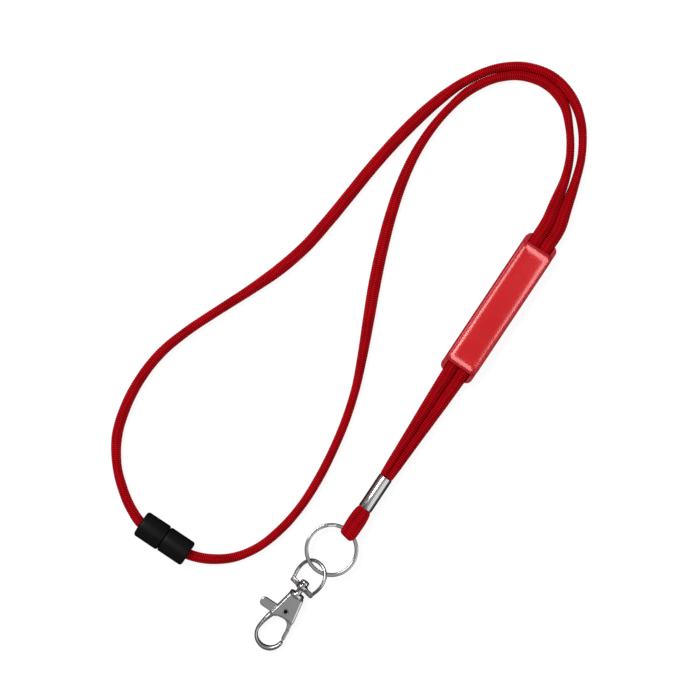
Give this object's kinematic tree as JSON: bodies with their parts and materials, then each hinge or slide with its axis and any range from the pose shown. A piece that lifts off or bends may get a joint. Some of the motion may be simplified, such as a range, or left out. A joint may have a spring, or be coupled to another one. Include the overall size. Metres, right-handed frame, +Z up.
{
  "type": "neck lanyard",
  "caption": "Neck lanyard of round woven cord with a breakaway connector, a domed badge slider, a crimped ferrule, a split ring and a swivel trigger hook.",
  "frame": {"origin": "bottom centre of the hardware's bounding box, on the plane that the lanyard lies on, without the cord", "axes": "+Y from the hook towards the neck end along the slider and ferrule, +X along the breakaway connector from socket to plug, +Z up"},
  "size_m": [0.114, 0.2566, 0.011],
  "materials": {
    "red_cord": "woven polyester, satin sheen with fine cross ribs",
    "nickel": "bright nickel plate",
    "nickel_cast": "nickel-plated zinc casting, softly polished",
    "steel_pin": "plain drawn steel",
    "red_tray": "moulded gloss",
    "red_cover": "moulded gloss",
    "red_label": "plain printed film",
    "red_resin": "glossy red domed resin",
    "black_plastic": "matt moulded",
    "brass_stop": "plain"
  },
  "bodies": {
    "strap": {"cord_outer": "red_cord", "cord_inner": "red_cord", "cord_fold": "red_cord", "crimp_ferrule": "nickel", "breakaway_socket": "black_plastic", "socket_end_stop": "brass_stop"},
    "plug": {"breakaway_plug": "black_plastic", "plug_end_stop": "brass_stop"},
    "slider": {"slider_tray": "red_tray", "slider_cover": "red_cover", "badge_label": "red_label", "badge_dome": "red_resin"},
    "ring": {"split_ring": "nickel"},
    "eye": {"swivel_eye": "nickel"},
    "hook": {"hook_body": "nickel_cast", "swivel_pin": "nickel", "lever_pin": "steel_pin", "lever_spring": "steel_pin"},
    "gate": {"gate_lever": "nickel_cast"}
  },
  "joints": [
    {"name": "breakaway_pull", "type": "slide", "parent": "strap", "child": "plug", "axis": [1, 0, 0], "range_m": [0, 0.012], "deforming": ["cord_inner"]},
    {"name": "slider_travel", "type": "slide", "parent": "strap", "child": "slider", "axis": [0, 1, 0], "range_m": [-0.048, 0.006]},
    {"name": "ring_swing", "type": "hinge", "parent": "strap", "child": "ring", "pos_m": [0.032, -0.04075, 0.0037], "axis": [-0.9796, 0.201, 0], "range_deg": [0, 140]},
    {"name": "eye_travel", "type": "hinge", "parent": "ring", "child": "eye", "pos_m": [0.03, -0.05049, 0.00405], "axis": [0.007, 0.0342, 0.9994], "range_deg": [-20, 105]},
    {"name": "hook_swivel", "type": "hinge", "parent": "eye", "child": "hook", "pos_m": [0.0285, -0.081, 0.00268], "axis": [0, 0.9982, 0.0598], "continuous": true},
    {"name": "gate_open", "type": "hinge", "parent": "hook", "child": "gate", "pos_m": [0.0285, -0.081, 0.00268], "axis": [0, -0.0598, 0.9982], "range_deg": [-25, 0], "stiffness_Nm_per_rad": 0.02, "springref_deg": 8.59, "deforming": ["lever_spring"]}
  ]
}
